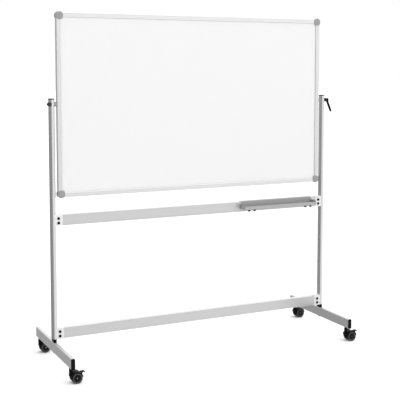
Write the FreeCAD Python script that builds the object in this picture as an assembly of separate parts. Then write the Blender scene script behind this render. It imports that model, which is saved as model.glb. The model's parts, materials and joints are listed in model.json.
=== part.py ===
import FreeCAD, Part
import math
import os

# Revolving whiteboard on a mobile stand. Millimetres, +Z up, front towards -Y.
# The origin is on the floor under the middle of the whole object's outline.

# ---- driving dimensions --------------------------------------------------
MIDDLE_X = -22.0            # the stand's middle plane; the clamp lever makes the right side longer

BOARD_W = 1500.0
BOARD_H = 900.0
BOARD_BOTTOM = 844.0
FRAME_FACE = 24.0           # width of the aluminium frame seen from the front
FRAME_DEPTH = 24.0
FRAME_WALL = 1.8
FRAME_CORNER_R = 14.0
PANEL_EDGE = 12.3           # from the frame's outer edge to the panel's edge
PANEL_T = 16.0
SHEET_T = 0.5
OPEN_MARGIN = 0.3           # between the frame's inner edge and the open writing area
PIVOT_ABOVE_MIDDLE = 6.0    # the board hangs upright because it turns just above its middle

CAP_PROUD = 3.0
CAP_REACH = 35.0
CAP_FACE_T = 1.5
CAP_R = 17.0

POST_X = 776.0              # from the middle plane to each post's centre line
POST_R = 15.0
POST_WALL = 1.8
POST_TOP = 1323.0
POST_PLUG_R = 15.6
POST_PLUG_T = 5.0

FOOT_X = 20.0
FOOT_Z = 52.0
FOOT_BOTTOM = 74.0
FOOT_HALF = 296.0
FOOT_WALL = 2.0
FOOT_EDGE_R = 5.0
FOOT_CAP_T = 4.0
BASE_H = 16.0               # plastic pedestal between foot and post
BASE_X = 15.0

BAR_Z = 54.0
BAR_Y = 24.0
BAR_WALL = 1.6
BAR_END = 757.5
UPPER_BAR = 733.0           # height of each crossbar's middle
LOWER_BAR = 169.0
BRACKET_IN = 731.0
BRACKET_SKIN = 2.0
BAR_SCREW_X = 751.0
BAR_SCREW_GAP = 22.0
BAR_SCREW_DROP = 2.0
BAR_SCREW_R = 6.8
BAR_SCREW_HEAD = 3.4
BAR_GROOVE_R = 0.8
BAR_GROOVE_IN = 6.0         # from the crossbar's top and bottom edges to its grooves

BOLT_R = 4.0
FIT = 0.05                  # running clearance on radius
GAP = 0.3                   # clearance between faces that move past each other
SADDLE_R = 17.5
SADDLE_HALF = 9.0
BOLT_HEAD_R = 5.5
BOLT_HEAD_T = 3.8
HUB_START = 794.6
HUB_LENGTH = 23.4
HUB_R = 9.5
LEVER_ROOT_R = 6.8
LEVER_TIP_X = 836.0
LEVER_TIP_R = 6.0
LEVER_TIP_DROP = 61.0
INSERT_R = 6.0              # toothed insert that the lever locks onto
INSERT_END = 11.4           # from the start of the lever's hub

TRAY_LEFT = 260.0
TRAY_RIGHT = 706.0
TRAY_FRONT = -66.0
TRAY_FLOOR = 722.0
TRAY_T = 2.0
TRAY_LIP = 16.0
TRAY_SCREW_INSET = (30.0, 63.0)
TRAY_SCREW_Y = -52.0
TRAY_KNOB_R = 6.0
TRAY_KNOB_H = 11.0
TRAY_END_H = 26.0
TRAY_END_T = 3.0

CASTOR_Y = 262.0            # from the post line to each castor's swivel axis
CASTOR_TRAIL = 25.0
WHEEL_R = 26.0
WHEEL_W = 18.0
WHEEL_IN = 5.5              # from the castor's middle to each wheel's inner face
HOOD_IN = 27.5
HOOD_OUT = 29.5
HOOD_HALF = 24.0
STEM_R = 4.0
STEM_TOP = 104.0
NECK_R = 9.5
AXLE_R = 3.0
EAR_R = 3.4                 # lugs that hold the brake pedal's hinge
EAR_T = 3.0
PEDAL_X = 50.0              # pedal hinge, from the swivel axis
PEDAL_Z = 47.0
PEDAL_PIN_R = 1.5
PEDAL_HALF = 10.3
PEDAL_REACH = 15.5
PEDAL_T = 3.6
PEDAL_LIP = 7.0             # how far the pedal's front edge turns down
PEDAL_TILT = 10.0           # degrees up, when the brake is off

PIVOT_Z = BOARD_BOTTOM + BOARD_H / 2 + PIVOT_ABOVE_MIDDLE
BOARD_MIDDLE = BOARD_BOTTOM + BOARD_H / 2
FOOT_TOP = FOOT_BOTTOM + FOOT_Z
POST_BOTTOM = FOOT_TOP + BASE_H

V = FreeCAD.Vector
AXIS_X = V(1, 0, 0)
AXIS_Y = V(0, 1, 0)
AXIS_Z = V(0, 0, 1)
SIDES = {"left": -1, "right": 1}
ENDS = {"front": -1, "rear": 1}


# ---- small helpers -------------------------------------------------------
def block(x0, x1, y0, y1, z0, z1):
    return Part.makeBox(x1 - x0, y1 - y0, z1 - z0, V(x0, y0, z0))


def rod_x(r, x0, x1, y=0.0, z=PIVOT_Z):
    return Part.makeCylinder(r, x1 - x0, V(x0, y, z), AXIS_X)


def rod_y(r, y0, y1, x=0.0, z=0.0):
    return Part.makeCylinder(r, y1 - y0, V(x, y0, z), AXIS_Y)


def rod_z(r, z0, z1, x=0.0, y=0.0):
    return Part.makeCylinder(r, z1 - z0, V(x, y, z0), AXIS_Z)


def rounded(shape, radius, direction):
    """Fillet the straight edges that run along one direction."""
    edges = []
    for edge in shape.Edges:
        along = edge.tangentAt(edge.FirstParameter)
        if abs(abs(along.dot(direction)) - 1) < 1e-6:
            edges.append(edge)
    return shape.makeFillet(radius, edges)


def moved(shape, x=0.0, y=0.0, z=0.0):
    copy = shape.copy()
    copy.translate(V(x, y, z))
    return copy


def mirrored_x(shape):
    return shape.mirror(V(0, 0, 0), AXIS_X)


def on_side(shape, side):
    """A piece drawn for the right side, put on the side asked for."""
    return shape if side > 0 else mirrored_x(shape)


def group(solids):
    return Part.makeCompound(solids)


def save(name, shape):
    placed = moved(shape, x=MIDDLE_X)
    placed.exportStep("parts/%s.step" % name)
    print("%-32s solids %2d  volume %10.0f" % (name, len(placed.Solids), placed.Volume))


# ---- the board -----------------------------------------------------------
def frame_profile():
    """Section of the frame extrusion: u runs inwards from the outer edge, v is the depth."""
    half = FRAME_DEPTH / 2
    slot = PANEL_T / 2 + 0.1
    body = block(0, 1, -half, half, 0, FRAME_FACE)
    body = rounded(body, 2.5, AXIS_X)
    body = body.cut(block(-1, 2, -slot, slot, FRAME_FACE / 2, FRAME_FACE + 1))
    inner = half - FRAME_WALL
    body = body.cut(block(-1, 2, -inner, inner, FRAME_WALL, FRAME_FACE / 2 - FRAME_WALL))
    for groove in (8.0, 16.0):
        for side in (-1, 1):
            cutter = rod_x(0.8, -1, 2, y=side * half, z=groove)
            body = body.cut(cutter)
    section = [f for f in body.Faces if abs(f.CenterOfMass.x) < 1e-6]
    return section[0]


def frame_rail(length):
    """One rail along X, outer edge at z = 0, both ends mitred at 45 degrees."""
    rail = frame_profile().extrude(V(length, 0, 0))
    rail.translate(V(-length / 2, 0, 0))
    half = length / 2
    deep = FRAME_DEPTH
    corners = [V(-half, -deep, 0), V(half, -deep, 0),
               V(half - length / 4, -deep, length / 4),
               V(-half + length / 4, -deep, length / 4)]
    mitre = Part.Face(Part.makePolygon(corners + corners[:1])).extrude(V(0, 2 * deep, 0))
    return rail.common(mitre)


def board_outline():
    """The frame's outline with its round corners, as a thick prism."""
    prism = block(-BOARD_W / 2, BOARD_W / 2, -FRAME_DEPTH, FRAME_DEPTH,
                  BOARD_BOTTOM, BOARD_BOTTOM + BOARD_H)
    return rounded(prism, FRAME_CORNER_R, AXIS_Y)


def frame_rails():
    outline = board_outline()
    turns = {"bottom": (0, BOARD_W, BOARD_H), "left": (90, BOARD_H, BOARD_W),
             "top": (180, BOARD_W, BOARD_H), "right": (270, BOARD_H, BOARD_W)}
    rails = {}
    for name, (angle, length, across) in turns.items():
        rail = frame_rail(length)
        rail.translate(V(0, 0, -across / 2))
        rail.rotate(V(0, 0, 0), AXIS_Y, angle)
        rail.translate(V(0, 0, BOARD_MIDDLE))
        rail = rail.common(outline)
        if name in SIDES:
            edge = SIDES[name] * BOARD_W / 2
            rail = rail.cut(rod_x(BOLT_R + 0.4, edge - 15, edge + 15))
        rails[name] = rail
    return rails


def panel_slab(y0, y1):
    half = BOARD_W / 2 - PANEL_EDGE
    return block(-half, half, y0, y1, BOARD_BOTTOM + PANEL_EDGE,
                 BOARD_BOTTOM + BOARD_H - PANEL_EDGE)


def board_core():
    inner = PANEL_T / 2 - SHEET_T
    return panel_slab(-inner, inner)


def writing_sheet(end):
    """A sheet whose face is divided where the frame and the corner caps end.

    The sheet runs on under the frame. The part of its face that can be
    reached is a face of its own, and the solid's shape is that of a plain slab.
    """
    inner = PANEL_T / 2 - SHEET_T
    outer = PANEL_T / 2
    y0, y1 = (-outer, -inner) if end < 0 else (inner, outer)
    half_w = BOARD_W / 2 - FRAME_FACE - OPEN_MARGIN
    half_h = BOARD_H / 2 - FRAME_FACE - OPEN_MARGIN
    notch = CAP_REACH - FRAME_FACE
    reach = block(-half_w, half_w, y0, y1, BOARD_MIDDLE - half_h, BOARD_MIDDLE + half_h)
    for x in (-half_w, half_w - notch):
        for z in (BOARD_MIDDLE - half_h, BOARD_MIDDLE + half_h - notch):
            reach = reach.cut(block(x, x + notch, y0 - 1, y1 + 1, z, z + notch))
    slab = panel_slab(y0, y1)
    return slab.cut(reach).fuse(reach)


def corner_cap():
    """Plastic corner shell at a bottom right corner whose frame corner is at (0, 0, 0)."""
    half = FRAME_DEPTH / 2 + CAP_FACE_T
    cap = block(-CAP_REACH, CAP_PROUD, -half, half, -CAP_PROUD, CAP_REACH)
    cap = rounded(cap, CAP_R, AXIS_Y)
    rims = [e for e in cap.Edges if abs(abs(e.CenterOfMass.y) - half) < 1e-6]
    cap = cap.makeFillet(1.0, rims)
    far = 2 * CAP_REACH
    rail = FRAME_DEPTH / 2 + FIT
    inner = FRAME_FACE + FIT
    pocket = rounded(block(-far, FIT, -rail, rail, -FIT, far), FRAME_CORNER_R + FIT, AXIS_Y)
    pocket = pocket.cut(block(-far - 1, -inner, -2 * rail, 2 * rail, inner, far + 1))
    sheet = PANEL_T / 2 + FIT
    cap = cap.cut(pocket)
    return cap.cut(block(-far, -inner + 1, -sheet, sheet, inner - 1, far))


def corner_caps(screws):
    """The bottom left cap with its screw holes, and its mirror images."""
    caps = {}
    left = mirrored_x(moved(corner_cap(), x=BOARD_W / 2, z=BOARD_BOTTOM)).cut(screws)
    for side_name, bottom in (("left", left), ("right", mirrored_x(left))):
        caps["bottom_" + side_name] = bottom
        caps["top_" + side_name] = bottom.mirror(V(0, 0, BOARD_MIDDLE), AXIS_Z)
    return caps


def frame_screws():
    """Two countersunk screws on the outer edges of each corner cap."""
    screws = []
    for side in (-1, 1):
        for z0, turn in ((BOARD_BOTTOM, 1), (BOARD_BOTTOM + BOARD_H, -1)):
            x = side * (BOARD_W / 2 - 24)
            z = z0 - turn * CAP_PROUD
            head = Part.makeCone(3.2, 1.6, 1.6, V(x, 0, z), V(0, 0, turn))
            shank = Part.makeCylinder(1.6, 10.0, V(x, 0, z), V(0, 0, turn))
            screws.append(head.fuse(shank).removeSplitter())
            x = side * (BOARD_W / 2 + CAP_PROUD)
            z = z0 + turn * 24
            head = Part.makeCone(3.2, 1.6, 1.6, V(x, 0, z), V(-side, 0, 0))
            shank = Part.makeCylinder(1.6, 10.0, V(x, 0, z), V(-side, 0, 0))
            screws.append(head.fuse(shank).removeSplitter())
    return screws


def pivot_nut():
    """Steel block inside a side rail that takes the pivot thread, right side."""
    edge = BOARD_W / 2
    nut = block(edge - 9.9, edge - FRAME_WALL - 0.1, -9.5, 9.5, PIVOT_Z - 22, PIVOT_Z + 22)
    return nut.cut(rod_x(BOLT_R + FIT, edge - 20, edge + 5))


def pivot_bolt():
    """Shoulder bolt of the left pivot; it turns with the board."""
    head_x = POST_X + SADDLE_R + 0.7
    shank = rod_x(BOLT_R, BOARD_W / 2 - 8, head_x + 1)
    head = rod_x(BOLT_HEAD_R, head_x, head_x + BOLT_HEAD_T)
    rim = [e for e in head.Edges if abs(e.CenterOfMass.x - head_x - BOLT_HEAD_T) < 1e-6]
    head = head.makeFillet(2.0, rim)
    socket = Part.Face(Part.makePolygon(hexagon(head_x + 2.0, 2.3))).extrude(V(3, 0, 0))
    return mirrored_x(shank.fuse(head).cut(socket).removeSplitter())


def hexagon(x, radius):
    points = []
    for i in range(7):
        a = math.radians(60 * i)
        points.append(V(x, radius * math.cos(a), PIVOT_Z + radius * math.sin(a)))
    return points


# ---- posts, feet and crossbars -------------------------------------------
def post():
    tube = rod_z(POST_R, POST_BOTTOM, POST_TOP, x=POST_X)
    tube = tube.cut(rod_z(POST_R - POST_WALL, POST_BOTTOM - 1, POST_TOP + 1, x=POST_X))
    return tube.cut(rod_x(BOLT_R + 0.4, POST_X - 30, POST_X + 30))


def post_plug():
    head = rod_z(POST_PLUG_R, POST_TOP, POST_TOP + POST_PLUG_T, x=POST_X)
    rim = [e for e in head.Edges if abs(e.CenterOfMass.z - POST_TOP - POST_PLUG_T) < 1e-6]
    head = head.makeFillet(2.5, rim)
    spigot = rod_z(POST_R - POST_WALL, POST_TOP - 14, POST_TOP, x=POST_X)
    return head.fuse(spigot).removeSplitter()


def post_base():
    half_x = BASE_X / 2
    pedestal = block(POST_X - half_x, POST_X + half_x, -20, 20, FOOT_TOP, POST_BOTTOM - 3)
    pedestal = rounded(pedestal, 6.0, AXIS_Z)
    flange = rod_z(POST_R, POST_BOTTOM - 4, POST_BOTTOM, x=POST_X)
    spigot = rod_z(POST_R - POST_WALL, POST_BOTTOM, POST_BOTTOM + 26, x=POST_X)
    base = pedestal.fuse([flange, spigot]).removeSplitter()
    return base.cut(rod_z(BOLT_R, FOOT_TOP - 1, POST_BOTTOM + 20, x=POST_X))


def base_bolt():
    shank = rod_z(BOLT_R, FOOT_BOTTOM, POST_BOTTOM + 18, x=POST_X)
    head = rod_z(7.0, FOOT_BOTTOM - 4, FOOT_BOTTOM, x=POST_X)
    return head.fuse(shank).removeSplitter()


def foot():
    half_x = FOOT_X / 2
    bar = block(POST_X - half_x, POST_X + half_x, -FOOT_HALF, FOOT_HALF, FOOT_BOTTOM, FOOT_TOP)
    bar = rounded(bar, FOOT_EDGE_R, AXIS_Y)
    w = FOOT_WALL
    hole = block(POST_X - half_x + w, POST_X + half_x - w, -FOOT_HALF - 1, FOOT_HALF + 1,
                 FOOT_BOTTOM + w, FOOT_TOP - w)
    bar = bar.cut(rounded(hole, FOOT_EDGE_R - w, AXIS_Y))
    bar = bar.cut(rod_z(BOLT_R + 0.2, FOOT_BOTTOM - 1, FOOT_TOP + 1, x=POST_X))
    for end in (-1, 1):
        bar = bar.cut(rod_z(6.0, FOOT_BOTTOM - 1, FOOT_BOTTOM + 5, x=POST_X, y=end * CASTOR_Y))
    return bar


def foot_plug(end):
    half_x = FOOT_X / 2
    plate = block(POST_X - half_x, POST_X + half_x, FOOT_HALF, FOOT_HALF + FOOT_CAP_T,
                  FOOT_BOTTOM, FOOT_TOP)
    plate = rounded(plate, FOOT_EDGE_R, AXIS_Y)
    face_y = FOOT_HALF + FOOT_CAP_T
    rim = [e for e in plate.Edges if abs(e.CenterOfMass.y - face_y) < 1e-6]
    plate = plate.makeFillet(1.5, rim)
    w = FOOT_WALL
    spigot = block(POST_X - half_x + w, POST_X + half_x - w, FOOT_HALF - 14, FOOT_HALF,
                   FOOT_BOTTOM + w, FOOT_TOP - w)
    plug = plate.fuse(rounded(spigot, FOOT_EDGE_R - w, AXIS_Y)).removeSplitter()
    return plug if end > 0 else plug.mirror(V(0, 0, 0), AXIS_Y)


def castor_socket(end):
    """Plastic bush in the foot that takes a castor's stem."""
    y = end * CASTOR_Y
    flange = rod_z(8.5, FOOT_BOTTOM - 1.5, FOOT_BOTTOM, x=POST_X, y=y)
    sleeve = rod_z(6.0, FOOT_BOTTOM, STEM_TOP + 3, x=POST_X, y=y)
    socket = flange.fuse(sleeve).removeSplitter()
    return socket.cut(rod_z(STEM_R + FIT, FOOT_BOTTOM - 3, STEM_TOP + 1, x=POST_X, y=y))


def crossbar(height):
    half_y = BAR_Y / 2
    half_z = BAR_Z / 2
    bar = block(-BAR_END, BAR_END, -half_y, half_y, height - half_z, height + half_z)
    bar = rounded(bar, 2.0, AXIS_X)
    w = BAR_WALL
    bar = bar.cut(block(-BAR_END - 1, BAR_END + 1, -half_y + w, half_y - w,
                        height - half_z + w, height + half_z - w))
    groove = half_z - BAR_GROOVE_IN
    for side in (-1, 1):
        for z in (height - groove, height + groove):
            bar = bar.cut(rod_x(BAR_GROOVE_R, -BAR_END - 1, BAR_END + 1, y=side * half_y, z=z))
        for x, z in bar_screw_places(height, side):
            bar = bar.cut(rod_y(3.1, -half_y - 1, -half_y + 4, x=x, z=z))
    return bar


def bar_screw_places(height, side):
    middle = height - BAR_SCREW_DROP
    return [(side * BAR_SCREW_X, middle + up * BAR_SCREW_GAP / 2) for up in (-1, 1)]


def bar_bracket(height):
    """Cast end piece, right side: a sleeve over the crossbar's end with a tongue inside it."""
    half_y = BAR_Y / 2 + BRACKET_SKIN
    half_z = BAR_Z / 2 + BRACKET_SKIN
    body = block(BRACKET_IN, POST_X, -half_y, half_y, height - half_z, height + half_z)
    body = rounded(body, 3.0, AXIS_X)
    slack = 0.05
    body = body.cut(block(BRACKET_IN - 1, BAR_END + 0.2, -BAR_Y / 2 - slack, BAR_Y / 2 + slack,
                          height - BAR_Z / 2 - slack, height + BAR_Z / 2 + slack))
    ty = BAR_Y / 2 - BAR_WALL - slack
    tz = BAR_Z / 2 - BAR_WALL - slack
    tongue = block(BRACKET_IN + 3, BAR_END + 2, -ty, ty, height - tz, height + tz)
    body = body.fuse(tongue).removeSplitter()
    body = body.cut(rod_z(POST_R + 0.02, height - 60, height + 60, x=POST_X))
    for x, z in bar_screw_places(height, 1):
        body = body.cut(rod_y(3.0, -half_y - 1, 0, x=x, z=z))
    return body


def bar_screws():
    """Black button-head screws at the ends of both crossbars."""
    screws = []
    face = -BAR_Y / 2 - BRACKET_SKIN
    for height in (UPPER_BAR, LOWER_BAR):
        for side in (-1, 1):
            for x, z in bar_screw_places(height, side):
                top = face - BAR_SCREW_HEAD
                head = rod_y(BAR_SCREW_R, top, face, x=x, z=z)
                head = head.makeFillet(1.8, [e for e in head.Edges if abs(e.CenterOfMass.y - top) < 1e-6])
                shank = rod_y(2.95, face, -1.0, x=x, z=z)
                socket = rod_y(1.9, top - 1, face - 1.6, x=x, z=z)
                screws.append(head.fuse(shank).cut(socket).removeSplitter())
    return screws


# ---- pivots and clamp ----------------------------------------------------
def pivot_spacer():
    """Plastic washer between the board and a post, hollowed to sit on the round tube."""
    spacer = rod_x(11.0, BOARD_W / 2 + GAP, POST_X)
    spacer = spacer.cut(rod_z(POST_R + 0.02, PIVOT_Z - 40, PIVOT_Z + 40, x=POST_X))
    spacer = spacer.cut(rod_x(BOLT_R + 0.2, BOARD_W / 2 - 5, POST_X + 5))
    return max(spacer.Solids, key=lambda solid: solid.Volume)


def pivot_saddle():
    """Black half shell round the outside of the left post, drawn on the right."""
    shell = rod_z(SADDLE_R, PIVOT_Z - SADDLE_HALF, PIVOT_Z + SADDLE_HALF, x=POST_X)
    rims = [e for e in shell.Edges if abs(abs(e.CenterOfMass.z - PIVOT_Z) - SADDLE_HALF) < 1e-6]
    shell = shell.makeFillet(1.2, rims)
    keep = block(POST_X + 3, POST_X + 40, -40, 40, PIVOT_Z - 40, PIVOT_Z + 40)
    shell = shell.common(keep)
    shell = shell.fuse(rod_x(BOLT_HEAD_R + 1.5, POST_X + POST_R, POST_X + SADDLE_R + 0.5))
    shell = shell.cut(rod_z(POST_R + 0.02, PIVOT_Z - 40, PIVOT_Z + 40, x=POST_X))
    shell = shell.cut(rod_x(BOLT_R + 0.2, POST_X, POST_X + 40))
    return mirrored_x(shell.removeSplitter())


def clamp_washer():
    washer = rod_x(8.0, POST_X, HUB_START - GAP)
    washer = washer.cut(rod_z(POST_R + 0.02, PIVOT_Z - 40, PIVOT_Z + 40, x=POST_X))
    washer = washer.cut(rod_x(BOLT_R + 0.2, POST_X - 5, POST_X + 40))
    return max(washer.Solids, key=lambda solid: solid.Volume)


def spline_prism(radius, x0, x1):
    """Twelve-sided stand-in for the lever's fine teeth."""
    points = []
    for i in range(13):
        a = math.radians(30 * i)
        points.append(V(x0, radius * math.cos(a), PIVOT_Z + radius * math.sin(a)))
    return Part.Face(Part.makePolygon(points)).extrude(V(x1 - x0, 0, 0))


def clamp_stud():
    rod = rod_x(BOLT_R, BOARD_W / 2 - 8, HUB_START + 2)
    insert = spline_prism(INSERT_R, HUB_START + 0.2, HUB_START + INSERT_END)
    stud = rod.fuse(insert).removeSplitter()
    return stud.cut(rod_x(2.0, HUB_START + 3, HUB_START + 20))


def clamp_lever():
    hub_end = HUB_START + HUB_LENGTH
    hub = Part.makeCone(HUB_R, HUB_R - 0.8, hub_end - HUB_START, V(HUB_START, 0, PIVOT_Z), AXIS_X)
    rim = [e for e in hub.Edges if abs(e.CenterOfMass.x - hub_end) < 1e-6]
    hub = hub.makeFillet(1.5, rim)
    root = V(hub_end - 8, 0, PIVOT_Z - 2)
    tip = V(LEVER_TIP_X, 0, PIVOT_Z - LEVER_TIP_DROP)
    arm = Part.makeCone(LEVER_ROOT_R, LEVER_TIP_R, (tip - root).Length, root, tip - root)
    lever = hub.fuse([arm, Part.makeSphere(LEVER_TIP_R, tip)])
    lever = lever.cut(spline_prism(INSERT_R + 0.1, HUB_START - 1, HUB_START + INSERT_END + 1))
    lever = lever.cut(rod_x(2.2, HUB_START, hub_end + 5))
    lever = lever.cut(rod_x(4.6, hub_end - 8, hub_end + 5))
    return lever.removeSplitter()


def clamp_screw():
    end = HUB_START + HUB_LENGTH - 0.2
    shank = rod_x(1.98, HUB_START + 6, end - 1)
    head = rod_x(4.2, end - 3, end)
    slot = block(end - 1.2, end + 1, -0.6, 0.6, PIVOT_Z - 5, PIVOT_Z + 5)
    return head.fuse(shank).cut(slot).removeSplitter()


# ---- pen tray ------------------------------------------------------------
def pen_tray():
    """Shelf with a front lip; it hooks over the upper crossbar and slides along it."""
    back = -BAR_Y / 2 - GAP
    top = UPPER_BAR + BAR_Z / 2 + GAP
    t = TRAY_T
    x0 = TRAY_LEFT + TRAY_END_T
    x1 = TRAY_RIGHT - TRAY_END_T
    plate = block(x0, x1, back - t, back, TRAY_FLOOR, top + t)
    shelf = block(x0, x1, TRAY_FRONT, back, TRAY_FLOOR, TRAY_FLOOR + t)
    lip = block(x0, x1, TRAY_FRONT, TRAY_FRONT + t, TRAY_FLOOR, TRAY_FLOOR + TRAY_LIP)
    bead = rod_x(1.6, x0, x1, y=TRAY_FRONT + t / 2, z=TRAY_FLOOR + TRAY_LIP)
    hook = block(x0, x1, back - t, -back + t, top, top + t)
    catch = block(x0, x1, -back, -back + t, top - 10, top + t)
    tray = plate.fuse([shelf, lip, bead, hook, catch]).removeSplitter()
    for x in tray_screw_places():
        tray = tray.cut(rod_z(2.0, TRAY_FLOOR - 1, TRAY_FLOOR + 5, x=x, y=TRAY_SCREW_Y))
    return tray


def tray_end_cap(x0):
    back = -BAR_Y / 2 - GAP
    cap = block(x0, x0 + TRAY_END_T, TRAY_FRONT, back, TRAY_FLOOR, TRAY_FLOOR + TRAY_END_H)
    front = [e for e in cap.Edges
             if abs(e.CenterOfMass.y - TRAY_FRONT) < 1e-6
             and abs(e.CenterOfMass.z - TRAY_FLOOR - TRAY_END_H) < 1e-6]
    return cap.makeFillet(14.0, front)


def tray_screw_places():
    near = [TRAY_LEFT + inset for inset in TRAY_SCREW_INSET]
    far = [TRAY_RIGHT - inset for inset in reversed(TRAY_SCREW_INSET)]
    return near + far


def tray_screws():
    screws = []
    bottom = TRAY_FLOOR - TRAY_KNOB_H
    for x in tray_screw_places():
        knob = rod_z(TRAY_KNOB_R, bottom, TRAY_FLOOR, x=x, y=TRAY_SCREW_Y)
        rim = [e for e in knob.Edges if abs(e.CenterOfMass.z - bottom) < 1e-6]
        knob = knob.makeFillet(1.5, rim)
        shank = rod_z(1.98, TRAY_FLOOR, TRAY_FLOOR + TRAY_T, x=x, y=TRAY_SCREW_Y)
        screws.append(knob.fuse(shank).removeSplitter())
    return screws


# ---- castors, drawn about their swivel axis at x = y = 0 ------------------
def castor_housing(braked):
    """Hood over two wheels, the spine between them, and the neck round the stem."""
    cx = CASTOR_TRAIL
    cz = WHEEL_R
    hood = rod_y(HOOD_OUT, -HOOD_HALF, HOOD_HALF, x=cx, z=cz)
    hood = hood.cut(rod_y(HOOD_IN, -HOOD_HALF - 1, HOOD_HALF + 1, x=cx, z=cz))
    upper = block(-40, 90, -40, 40, cz + 4, 90)
    hood = hood.common(upper)
    spine = rod_y(HOOD_IN + 0.5, -WHEEL_IN + 1, WHEEL_IN - 1, x=cx, z=cz)
    spine = spine.common(block(-40, 90, -40, 40, cz - 9, 90))
    neck = rod_z(NECK_R, cz + 12, FOOT_BOTTOM - 2.5)
    neck = neck.cut(rod_y(HOOD_IN + 1, -40, -WHEEL_IN + 1, x=cx, z=cz))
    neck = neck.cut(rod_y(HOOD_IN + 1, WHEEL_IN - 1, 40, x=cx, z=cz))
    housing = hood.fuse([spine, neck])
    if braked:
        ears = []
        for side in (-1, 1):
            inner = PEDAL_HALF + GAP
            y0 = inner if side > 0 else -inner - EAR_T
            ear = rod_y(EAR_R, y0, y0 + EAR_T, x=PEDAL_X, z=PEDAL_Z)
            web = block(PEDAL_X - 9, PEDAL_X, y0, y0 + EAR_T, PEDAL_Z - 7, PEDAL_Z)
            web = web.cut(rod_y(HOOD_IN + 1, -40, 40, x=cx, z=cz))
            ears += [ear, web]
        housing = housing.fuse(ears)
        housing = housing.cut(rod_y(PEDAL_PIN_R + FIT, -20, 20, x=PEDAL_X, z=PEDAL_Z))
    housing = housing.cut(rod_y(AXLE_R, -40, 40, x=cx, z=cz))
    return housing.cut(rod_z(STEM_R, 40, 90)).removeSplitter()


def castor_stem():
    pin = rod_z(STEM_R, 41, STEM_TOP)
    return pin.makeChamfer(1.0, [e for e in pin.Edges if abs(e.CenterOfMass.z - STEM_TOP) < 1e-6])


def castor_axle():
    return rod_y(AXLE_R, -20.5, 20.5, x=CASTOR_TRAIL, z=WHEEL_R)


def castor_wheels():
    """Two moulded wheels with a rounded tread and a dished outer face."""
    wheels = []
    for side in (-1, 1):
        y0 = WHEEL_IN
        wheel = rod_y(WHEEL_R, y0, y0 + WHEEL_W, x=CASTOR_TRAIL, z=WHEEL_R)
        wheel = wheel.makeFillet(2.5, [e for e in wheel.Edges if len(e.Vertexes) == 1])
        dish = rod_y(19.0, y0 + WHEEL_W - 2, y0 + WHEEL_W + 1, x=CASTOR_TRAIL, z=WHEEL_R)
        boss = rod_y(15.0, y0 + WHEEL_W - 3, y0 + WHEEL_W - 0.6, x=CASTOR_TRAIL, z=WHEEL_R)
        wheel = wheel.cut(dish).fuse(boss).removeSplitter()
        wheel = wheel.cut(rod_y(AXLE_R + FIT, 0, 21, x=CASTOR_TRAIL, z=WHEEL_R))
        wheels.append(wheel if side > 0 else wheel.mirror(V(0, 0, 0), AXIS_Y))
    return wheels


def brake_pedal():
    """A hinged paddle whose front edge turns down, drawn level and then tilted up."""
    barrel = rod_y(2.6, -PEDAL_HALF, PEDAL_HALF, x=PEDAL_X, z=PEDAL_Z)
    pin_half = PEDAL_HALF + GAP + EAR_T - 0.2
    pin = rod_y(PEDAL_PIN_R, -pin_half, pin_half, x=PEDAL_X, z=PEDAL_Z)
    end = PEDAL_X + PEDAL_REACH
    top = PEDAL_Z + PEDAL_T - 0.2
    plate = block(PEDAL_X, end, -PEDAL_HALF, PEDAL_HALF, PEDAL_Z - 0.2, top)
    lip = block(end - PEDAL_T, end, -PEDAL_HALF, PEDAL_HALF, top - PEDAL_LIP, top)
    paddle = rounded(plate.fuse(lip).removeSplitter(), 1.2, AXIS_Y)
    paddle.rotate(V(PEDAL_X, 0, PEDAL_Z), AXIS_Y, -PEDAL_TILT)
    return barrel.fuse([pin, paddle]).removeSplitter()


# ---- write every node ----------------------------------------------------
def build_board():
    save("board_core", board_core())
    save("writing_sheet_front", writing_sheet(-1))
    save("writing_sheet_rear", writing_sheet(1))
    screws = group(frame_screws())
    for name, rail in frame_rails().items():
        save("frame_rail_" + name, rail.cut(screws))
    for name, cap in corner_caps(screws).items():
        save("corner_cap_" + name, cap)
    save("frame_screws", screws)
    save("pivot_nuts", group([on_side(pivot_nut(), side) for side in SIDES.values()]))
    save("pivot_bolt", pivot_bolt())


def build_stand():
    for name, side in SIDES.items():
        save("post_" + name, on_side(post(), side))
        save("post_plug_" + name, on_side(post_plug(), side))
        save("post_base_" + name, on_side(post_base(), side))
        save("foot_" + name, on_side(foot(), side))
        plugs = [on_side(foot_plug(end), side) for end in ENDS.values()]
        save("foot_plugs_" + name, group(plugs))
        for level, height in (("upper", UPPER_BAR), ("lower", LOWER_BAR)):
            save("bar_bracket_%s_%s" % (level, name), on_side(bar_bracket(height), side))
    save("upper_crossbar", crossbar(UPPER_BAR))
    save("lower_crossbar", crossbar(LOWER_BAR))
    save("crossbar_screws", group(bar_screws()))
    save("base_bolts", group([on_side(base_bolt(), side) for side in SIDES.values()]))
    sockets = [on_side(castor_socket(end), side)
               for side in SIDES.values() for end in ENDS.values()]
    save("castor_sockets", group(sockets))
    save("pivot_spacers", group([on_side(pivot_spacer(), side) for side in SIDES.values()]))
    save("pivot_saddle", pivot_saddle())
    save("clamp_washer", clamp_washer())


def build_clamp_and_tray():
    save("clamp_stud", clamp_stud())
    save("clamp_lever", clamp_lever())
    save("clamp_screw", clamp_screw())
    save("pen_tray", pen_tray())
    ends = [tray_end_cap(TRAY_LEFT), tray_end_cap(TRAY_RIGHT - TRAY_END_T)]
    save("tray_end_caps", group(ends))
    save("tray_screws", group(tray_screws()))


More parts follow.
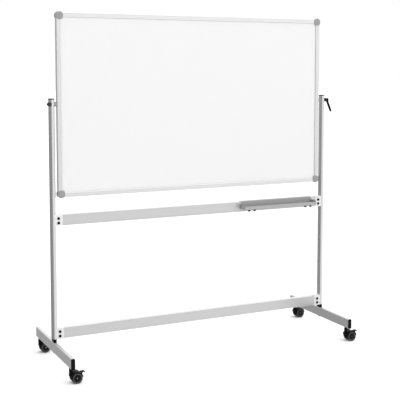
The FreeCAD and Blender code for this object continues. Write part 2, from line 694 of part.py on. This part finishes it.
def build_castors():
    for end_name, end in ENDS.items():
        for side_name, side in SIDES.items():
            where = "%s_%s" % (end_name, side_name)
            place = {"x": side * POST_X, "y": end * CASTOR_Y}
            braked = end_name == "front"
            save("castor_housing_" + where, moved(castor_housing(braked), **place))
            save("castor_stem_" + where, moved(castor_stem(), **place))
            save("castor_axle_" + where, moved(castor_axle(), **place))
            save("castor_wheels_" + where, moved(group(castor_wheels()), **place))
            if braked:
                save("brake_pedal_" + where, moved(brake_pedal(), **place))


os.makedirs("parts", exist_ok=True)
build_board()
build_stand()
build_clamp_and_tray()
build_castors()
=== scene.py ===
# %% [markdown]
# A whiteboard that turns over between the posts of a rolling stand.
# The solid parts come ready made, in metres, and every one keeps its place.
# This lesson gives them their finishes, builds the pieces that need a finer
# shape, and sets up a floor, soft lights and a camera.

# %% Load the parts
import json
import math

import bmesh
import bpy
from mathutils import Matrix, Vector


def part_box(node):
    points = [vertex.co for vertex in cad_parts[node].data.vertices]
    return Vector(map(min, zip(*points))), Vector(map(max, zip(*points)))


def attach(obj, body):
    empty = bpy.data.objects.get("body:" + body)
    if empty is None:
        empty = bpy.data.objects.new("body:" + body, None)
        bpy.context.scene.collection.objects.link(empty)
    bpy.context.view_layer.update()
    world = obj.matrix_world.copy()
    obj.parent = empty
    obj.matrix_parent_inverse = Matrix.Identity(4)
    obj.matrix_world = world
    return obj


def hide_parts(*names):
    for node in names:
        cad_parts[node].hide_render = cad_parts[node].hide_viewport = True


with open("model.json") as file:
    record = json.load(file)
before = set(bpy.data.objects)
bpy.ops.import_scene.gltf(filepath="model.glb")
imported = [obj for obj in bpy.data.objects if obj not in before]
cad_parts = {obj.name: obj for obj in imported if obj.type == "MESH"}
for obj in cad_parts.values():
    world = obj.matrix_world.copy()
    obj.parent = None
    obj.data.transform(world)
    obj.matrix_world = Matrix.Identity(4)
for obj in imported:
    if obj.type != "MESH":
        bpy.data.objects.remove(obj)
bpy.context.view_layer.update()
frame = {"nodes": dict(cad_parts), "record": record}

MM = 0.001
WELD = 1e-6                 # points closer than this, in metres, become one
parts = frame["nodes"]
print("parts loaded:", len(parts))

# %% [markdown]
# Colours are easier to pick as the hex values that paint charts use, but a
# shader works in linear light. One function turns one into the other.
# A second one adds a node, sets its fields and joins its inputs, so that each
# finish below reads as a short recipe. The last one turns a mesh that has been
# worked on into an object.

# %% Colour and node helpers
def linear(hex_code):
    channels = []
    for i in (0, 2, 4):
        c = int(hex_code[i:i + 2], 16) / 255
        channels.append(c / 12.92 if c <= 0.04045 else ((c + 0.055) / 1.055) ** 2.4)
    return (*channels, 1.0)


def add_node(tree, kind, inputs=None, **settings):
    node = tree.nodes.new(kind)
    for field, value in settings.items():
        setattr(node, field, value)
    for socket, value in (inputs or {}).items():
        if isinstance(value, bpy.types.NodeSocket):
            tree.links.new(value, node.inputs[socket])
        else:
            node.inputs[socket].default_value = value
    return node


def finish_named(name, hex_code, metallic, roughness, **shader):
    material = bpy.data.materials.new(name)
    material.use_nodes = True
    bsdf = material.node_tree.nodes["Principled BSDF"]
    bsdf.inputs["Base Color"].default_value = linear(hex_code)
    bsdf.inputs["Metallic"].default_value = metallic
    bsdf.inputs["Roughness"].default_value = roughness
    for socket, value in shader.items():
        bsdf.inputs[socket.replace("_", " ")].default_value = value
    return material


def add_relief(material, size_mm, height_mm, strength=1.0, stretch=(1, 1, 1)):
    """A fine uneven surface. size_mm is the spacing of its grains."""
    tree = material.node_tree
    where = add_node(tree, "ShaderNodeTexCoord")
    mapped = add_node(tree, "ShaderNodeMapping",
                      {"Vector": where.outputs["Object"], "Scale": stretch})
    noise = add_node(tree, "ShaderNodeTexNoise",
                     {"Vector": mapped.outputs["Vector"], "Scale": 1 / (size_mm * MM),
                      "Detail": 2.0})
    bump = add_node(tree, "ShaderNodeBump",
                    {"Height": noise.outputs["Fac"], "Strength": strength,
                     "Distance": height_mm * MM})
    bsdf = tree.nodes["Principled BSDF"]
    tree.links.new(bump.outputs["Normal"], bsdf.inputs["Normal"])
    return noise


def vary_roughness(material, noise, low, high):
    tree = material.node_tree
    spread = add_node(tree, "ShaderNodeMapRange",
                      {"Value": noise.outputs["Fac"], "To Min": low, "To Max": high})
    bsdf = tree.nodes["Principled BSDF"]
    tree.links.new(spread.outputs["Result"], bsdf.inputs["Roughness"])


def object_from(bm, name, sharp, finishes):
    """Shades the working mesh smooth, apart from its sharp edges, and shows it."""
    for face in bm.faces:
        face.smooth = True
    mesh = bpy.data.meshes.new(name)
    bm.to_mesh(mesh)
    bm.free()
    mesh.set_sharp_from_angle(angle=sharp)
    for finish in finishes:
        mesh.materials.append(finish)
    piece = bpy.data.objects.new(name, mesh)
    bpy.context.scene.collection.objects.link(piece)
    return piece


print("white in linear light:", linear("FFFFFF"))

# %% [markdown]
# The writing sheets are steel with a coat of white enamel. Enamel is glass
# fired on metal: hard, glossy and very slightly wavy, which the eye reads
# in long soft reflections. A clear coat over white gives that gloss.

# %% Enamel
enamel = finish_named("white_enamel_on_steel", "DCDCDC", 0.0, 0.28, IOR=1.5,
                      Coat_Weight=0.35, Coat_Roughness=0.08)
add_relief(enamel, 60, 0.05, 0.2)
core_board = finish_named("pressed_core_board", "B8A283", 0.0, 0.8)
add_relief(core_board, 3, 0.3)
print("sheet finishes:", enamel.name, core_board.name)

# %% [markdown]
# The frame and crossbars are extruded aluminium, etched and anodised. The
# die leaves lines along the length, a few tenths of a millimetre apart. They
# are too fine to show, so they are drawn several millimetres apart and very
# long. The wide crossbars show them most. The direction differs between
# level and upright lengths, so each direction has a material of its own.

# %% Anodised aluminium
def anodised(name, hex_code, along, roughness, line_mm, depth_mm):
    material = finish_named(name, hex_code, 0.85, roughness)
    stretch = [1.0, 1.0, 1.0]
    stretch[along] = 0.004
    noise = add_relief(material, line_mm, depth_mm, 0.6, stretch)
    vary_roughness(material, noise, roughness - 0.05, roughness + 0.07)
    return material


rail_level = anodised("anodised_aluminium_level", "D9D9D9", 0, 0.38, 4.0, 0.05)
rail_upright = anodised("anodised_aluminium_upright", "D9D9D9", 2, 0.38, 4.0, 0.05)
bar_metal = anodised("anodised_aluminium_crossbar", "C8C8C8", 0, 0.4, 11.0, 0.7)
print("anodised:", rail_level.name, rail_upright.name, bar_metal.name)

# %% [markdown]
# Posts and feet are steel tube with a silver powder coat. The powder melts
# into a faint orange peel about a millimetre across, and its metal flakes
# make it half mirror, half paint. Brackets are die cast and lacquered lighter.

# %% Powder coat, lacquer and zinc
silver_coat = finish_named("silver_powder_coat_on_steel", "D4D4D4", 0.92, 0.24)
add_relief(silver_coat, 1.5, 0.03, 0.05)
foot_coat = finish_named("silver_powder_coat_on_feet", "C6C6C6", 0.7, 0.4)
add_relief(foot_coat, 1.5, 0.03, 0.08)
lacquer = finish_named("light_silver_lacquer_on_casting", "D8D8D8", 0.0, 0.4)
add_relief(lacquer, 2, 0.05, 0.3)
zinc = finish_named("bright_zinc_plated_steel", "C4C6C8", 1.0, 0.3)
black_zinc = finish_named("black_zinc_plated_screw", "030303", 0.0, 0.5,
                          Specular_IOR_Level=0.1)
print("metal finishes:", silver_coat.name, foot_coat.name, lacquer.name, zinc.name)

# %% [markdown]
# The plastics are moulded or extruded. Spark-eroded moulds give a grain of
# about half a millimetre, which breaks up the highlight. Corner caps and
# tray are mid grey, the saddle at the left post and the rings of the wheels
# dark grey, the other fittings and the wheels black.

# %% Plastics
cap_plastic = finish_named("moulded_grey_abs", "8C8C8C", 0.0, 0.34, IOR=1.53)
add_relief(cap_plastic, 0.8, 0.03, 0.4)
tray_plastic = finish_named("extruded_grey_pvc", "9E9E9E", 0.0, 0.5, IOR=1.53)
add_relief(tray_plastic, 1.0, 0.03, 0.4, (0.05, 1, 1))
black_nylon = finish_named("moulded_black_nylon", "040404", 0.0, 0.55, IOR=1.53,
                           Specular_IOR_Level=0.12)
add_relief(black_nylon, 0.8, 0.04, 0.5)
wheel_nylon = finish_named("moulded_black_wheel_nylon", "040404", 0.0, 0.45, IOR=1.53,
                           Specular_IOR_Level=0.14)
add_relief(wheel_nylon, 1.2, 0.04, 0.4)
ring_nylon = finish_named("moulded_grey_wheel_ring", "3C3C3C", 0.0, 0.4, IOR=1.53)
saddle_plastic = finish_named("moulded_dark_grey_abs", "3A3A3A", 0.0, 0.4, IOR=1.53,
                              Specular_IOR_Level=0.3)
add_relief(saddle_plastic, 0.8, 0.03, 0.3)
print("plastics:", cap_plastic.name, tray_plastic.name, black_nylon.name)

# %% [markdown]
# Every part that is shown as it comes takes its finish here. A part's name
# says what it is, so the start of the name is enough to choose by.

# %% Give the parts their finishes
FINISH_BY_START = [
    ("writing_sheet", enamel), ("board_core", core_board),
    ("frame_rail_top", rail_level), ("frame_rail_bottom", rail_level),
    ("frame_rail_left", rail_upright), ("frame_rail_right", rail_upright),
    ("corner_cap", cap_plastic), ("frame_screws", zinc), ("pivot_nuts", zinc),
    ("pivot_bolt", black_zinc), ("post_plug", black_nylon), ("post_base", black_nylon),
    ("post_", silver_coat), ("foot_plugs", black_nylon), ("foot_", foot_coat),
    ("bar_bracket", lacquer), ("upper_crossbar", bar_metal), ("lower_crossbar", bar_metal),
    ("crossbar_screws", black_zinc), ("base_bolts", zinc), ("castor_sockets", black_nylon),
    ("pivot_spacers", cap_plastic), ("pivot_saddle", saddle_plastic),
    ("clamp_washer", black_nylon), ("clamp_stud", zinc), ("clamp_screw", zinc),
    ("clamp_lever", black_nylon), ("pen_tray", tray_plastic),
    ("tray_end_caps", tray_plastic), ("tray_screws", black_nylon),
    ("castor_housing", black_nylon), ("castor_stem", zinc), ("castor_axle", zinc),
    ("castor_wheels", wheel_nylon), ("brake_pedal", black_nylon),
]
for name, part in parts.items():
    finish = next(f for start, f in FINISH_BY_START if name.startswith(start))
    part.data.materials.clear()
    part.data.materials.append(finish)
print("parts finished:", len(parts))

# %% [markdown]
# Nothing moulded or cast has a knife edge: a mould's edges are rounded a few
# tenths of a millimetre so that the part comes out of it, and that thin round
# catches the light. The solid parts arrive with sharp edges, so the moulded
# ones are copied, their flat faces are joined up, and the edges that turn
# sharply are bevelled. Curved rims are made of very short edges, and a bevel
# that is held back by the shortest one would vanish, so that limit is off and
# the round is kept small. The volume printed shows that little is taken away.

# %% Rounded mould edges
SHARP = math.radians(40)
FLAT = math.radians(0.6)
ROUND_STEPS = 2


def joined_copy(node):
    bm = bmesh.new()
    bm.from_mesh(parts[node].data)
    bmesh.ops.remove_doubles(bm, verts=bm.verts, dist=WELD)
    bmesh.ops.dissolve_limit(bm, angle_limit=FLAT, verts=bm.verts, edges=bm.edges)
    return bm


def count_open(bm):
    return sum(not e.is_manifold for e in bm.edges)


def round_edges(node, round_mm, body):
    bm = joined_copy(node)
    volume = bm.calc_volume()
    sharp = [e for e in bm.edges if e.is_manifold and e.calc_face_angle(0) > SHARP]
    bmesh.ops.bevel(bm, geom=sharp, offset=round_mm * MM, offset_type="OFFSET",
                    segments=ROUND_STEPS, profile=0.5, affect="EDGES",
                    clamp_overlap=False, material=-1)
    print(node, "sharp", len(sharp), "open", count_open(bm),
          "volume kept", round(bm.calc_volume() / volume, 4))
    piece = object_from(bm, node + "_rounded", SHARP, parts[node].data.materials[:1])
    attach(piece, body)
    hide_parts(node)
    return piece


BODY_OF = {node: body for body, nodes in frame["record"]["behaviour"]["bodies"].items()
           for node in nodes}
ROUNDED = [("castor_housing_", 0.4), ("brake_pedal_", 0.4), ("bar_bracket_", 0.4),
           ("clamp_lever", 0.4), ("tray_end_caps", 0.5), ("tray_screws", 0.3),
           ("foot_plugs_", 0.4), ("post_base_", 0.4)]
for start, round_mm in ROUNDED:
    for node in [n for n in parts if n.startswith(start)]:
        round_edges(node, round_mm, BODY_OF[node])

# %% [markdown]
# The corner caps are injection moulded and their faces are not flat: each
# swells gently towards its middle, which shows as a soft change of tone
# across it. The two large faces of each cap are inset a few times and each
# step is raised a little less than the one before, which makes a low dome.
# The steps stop well short of the middle, where an inset would fold over.

# %% Domed corner caps
DOME_STEPS_MM = [(1.5, 0.6), (2.0, 0.45), (2.0, 0.25), (2.0, 0.1)]  # (inset, raise)
for node in [n for n in parts if n.startswith("corner_cap_")]:
    bm = joined_copy(node)
    depth = max(abs(v.co.y) for v in bm.verts)
    for inset_mm, raise_mm in DOME_STEPS_MM:
        flat = [f for f in bm.faces if abs(f.normal.y) > 0.99
                and abs(f.calc_center_median().y) > depth - 0.1 * MM]
        flat.sort(key=lambda f: f.calc_area(), reverse=True)
        bmesh.ops.inset_individual(bm, faces=flat[:2], thickness=inset_mm * MM,
                                   depth=raise_mm * MM, use_even_offset=True)
        depth = max(abs(v.co.y) for v in bm.verts)
    print(node, "stands out to", round(depth / MM, 2), "mm, open", count_open(bm),
          "top mm2", [round(f.calc_area() / MM ** 2) for f in flat[:2]])
    cap = object_from(bm, node + "_domed", SHARP, [cap_plastic])
    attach(cap, BODY_OF[node])
    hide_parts(node)

# %% [markdown]
# The castor wheels are twin wheels of moulded nylon with a rounded tread, a
# lip, a sunk grey ring and a slightly domed cap. Any such shape is one
# outline turned round the axle, so it is drawn once as a half section and
# spun. The two wheels of a castor are mirror images in one mesh.

# %% Castor wheels
# The half section in millimetres, as (radius, distance from the castor's middle).
WHEEL_SECTION = [(3.05, 5.5), (23.4, 5.5), (24.8, 5.9), (25.7, 6.9), (26.0, 8.2),
                 (26.0, 20.8), (25.7, 22.1), (24.8, 23.1), (23.6, 23.5), (22.8, 23.4),
                 (22.3, 22.3), (17.6, 22.3), (17.1, 23.0), (16.2, 23.2), (11.0, 23.45),
                 (5.0, 23.5), (3.05, 23.5)]
RING_INNER, RING_OUTER = 17.4 * MM, 22.5 * MM
RING_FACE = 22 * MM         # faces further out than this are on the wheel's outer side
TURN_STEPS = 72
WHEEL_SHARP = math.radians(35)


def wheel_pair(name, centre):
    bm = bmesh.new()
    loop = [bm.verts.new((r * MM, y * MM, 0)) for r, y in WHEEL_SECTION]
    edges = [bm.edges.new((a, b)) for a, b in zip(loop, loop[1:] + loop[:1])]
    bmesh.ops.spin(bm, geom=loop + edges, cent=(0, 0, 0), axis=(0, 1, 0),
                   dvec=(0, 0, 0), angle=math.tau, steps=TURN_STEPS, use_merge=True)
    bmesh.ops.remove_doubles(bm, verts=bm.verts, dist=WELD)
    first = list(bm.verts) + list(bm.edges) + list(bm.faces)
    copy = bmesh.ops.duplicate(bm, geom=first)["geom"]
    copied_verts = [g for g in copy if isinstance(g, bmesh.types.BMVert)]
    bmesh.ops.scale(bm, vec=(1, -1, 1), verts=copied_verts)
    bmesh.ops.recalc_face_normals(bm, faces=bm.faces)
    for face in bm.faces:
        middle = face.calc_center_median()
        radius = math.hypot(middle.x, middle.z)
        on_outer_face = abs(middle.y) > RING_FACE
        face.material_index = int(RING_INNER < radius < RING_OUTER and on_outer_face)
    bmesh.ops.translate(bm, vec=centre, verts=bm.verts)
    return object_from(bm, name, WHEEL_SHARP, [wheel_nylon, ring_nylon])


for corner in ("front_left", "front_right", "rear_left", "rear_right"):
    low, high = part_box("castor_wheels_" + corner)
    wheels = wheel_pair("wheel_pair_" + corner, (low + high) / 2)
    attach(wheels, "wheels_" + corner)
    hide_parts("castor_wheels_" + corner)
    print(wheels.name, "faces", len(wheels.data.polygons))

# %% [markdown]
# The floor is plain and pale, and wide enough that its edge is never seen.
# It belongs to the studio and not to the object.
# Metal would mirror so white a floor and lose its shape, so shiny surfaces
# see the surroundings in its place.

# %% Floor
FLOOR_HALF = 60             # metres from its middle to each side
bm = bmesh.new()
bmesh.ops.create_grid(bm, x_segments=1, y_segments=1, size=FLOOR_HALF)
floor_mesh = bpy.data.meshes.new("floor")
bm.to_mesh(floor_mesh)
bm.free()
floor = bpy.data.objects.new("floor", floor_mesh)
bpy.context.scene.collection.objects.link(floor)
floor_mesh.materials.append(finish_named("pale_studio_floor", "F7F7F7", 0.0, 0.9))
floor.visible_glossy = False
print("floor side in metres:", 2 * FLOOR_HALF)

# %% [markdown]
# Metal shows what is round it, so a plain white room would make it look flat.
# The surroundings are bright above and to the right and dimmer to the left,
# which gives each post a dark edge and a bright one. What lies straight
# behind the object stays plain white.

# %% Surroundings
# Where the change of brightness starts and ends, and how bright it is there.
LEFT_TO_RIGHT = (-0.45, 0.2), (0.3, 1.12)
LEVEL_TO_ABOVE = (0.0, 1.0), (0.0, 0.95)


def brightness_along(position, span, strengths):
    return add_node(tree, "ShaderNodeMapRange",
                    {"Value": position, "From Min": span[0], "From Max": span[1],
                     "To Min": strengths[0], "To Max": strengths[1]})


world = bpy.data.worlds.new("studio")
bpy.context.scene.world = world
world.use_nodes = True
tree = world.node_tree
tree.nodes.clear()
facing = add_node(tree, "ShaderNodeTexCoord")
axes = add_node(tree, "ShaderNodeSeparateXYZ", {"Vector": facing.outputs["Generated"]})
side = brightness_along(axes.outputs["X"], *LEFT_TO_RIGHT)
above = brightness_along(axes.outputs["Z"], *LEVEL_TO_ABOVE)
strength = add_node(tree, "ShaderNodeMath",
                    {0: side.outputs["Result"], 1: above.outputs["Result"]}, operation="ADD")
room = add_node(tree, "ShaderNodeBackground",
                {"Color": linear("FFFFFF"), "Strength": strength.outputs["Value"]})
backdrop = add_node(tree, "ShaderNodeBackground",
                    {"Color": linear("FFFFFF"), "Strength": 1.0})
ray = add_node(tree, "ShaderNodeLightPath")
mixed = add_node(tree, "ShaderNodeMixShader",
                 {0: ray.outputs["Is Camera Ray"], 1: room.outputs["Background"],
                  2: backdrop.outputs["Background"]})
add_node(tree, "ShaderNodeOutputWorld", {"Surface": mixed.outputs["Shader"]})
print("surroundings ready")

# %% [markdown]
# Two large soft lights stand in front of the board, the stronger one to the
# right. Their size keeps shadows faint, as in a catalogue studio.

# %% Lights
def soft_light(name, place, target, size, watts):
    lamp = bpy.data.lights.new(name, "AREA")
    lamp.shape = "SQUARE"
    lamp.size = size
    lamp.energy = watts
    holder = bpy.data.objects.new(name, lamp)
    aim = (Vector(target) - Vector(place)).to_track_quat("-Z", "Y")
    holder.matrix_world = Matrix.Translation(place) @ aim.to_matrix().to_4x4()
    bpy.context.scene.collection.objects.link(holder)


soft_light("front_light", (1.6, -4.2, 3.2), (0, 0, 0.9), 4.5, 13)
soft_light("top_light", (-0.5, 1.5, 4.6), (0, 0, 0.8), 5.5, 10)
bpy.context.scene.view_settings.view_transform = "Standard"
print("lights: front and top")

# %% [markdown]
# The camera stands front left of the board at about eye height and looks a
# little down. Its lens is shifted in its mount, so that it need not tilt
# further and the posts stay nearly upright.

# %% Camera
SENSOR_WIDTH = 36.0
FOCAL_WIDTHS = 2.265        # the focal length, in widths of the sensor
LENS_SHIFT = -0.1375        # in widths of the picture, downwards
DOWN_TILT = 0.0824
TURN_RIGHT = 0.4498
camera_data = bpy.data.cameras.new("camera")
camera_data.sensor_width = SENSOR_WIDTH
camera_data.lens = SENSOR_WIDTH * FOCAL_WIDTHS
camera_data.shift_y = LENS_SHIFT
camera = bpy.data.objects.new("camera", camera_data)
camera.location = (-2.056, -4.260, 1.4645)
camera.rotation_euler = (math.pi / 2 - DOWN_TILT, 0.0, -TURN_RIGHT)
bpy.context.scene.collection.objects.link(camera)
bpy.context.scene.camera = camera
print("camera height in metres:", round(camera.location.z, 3))
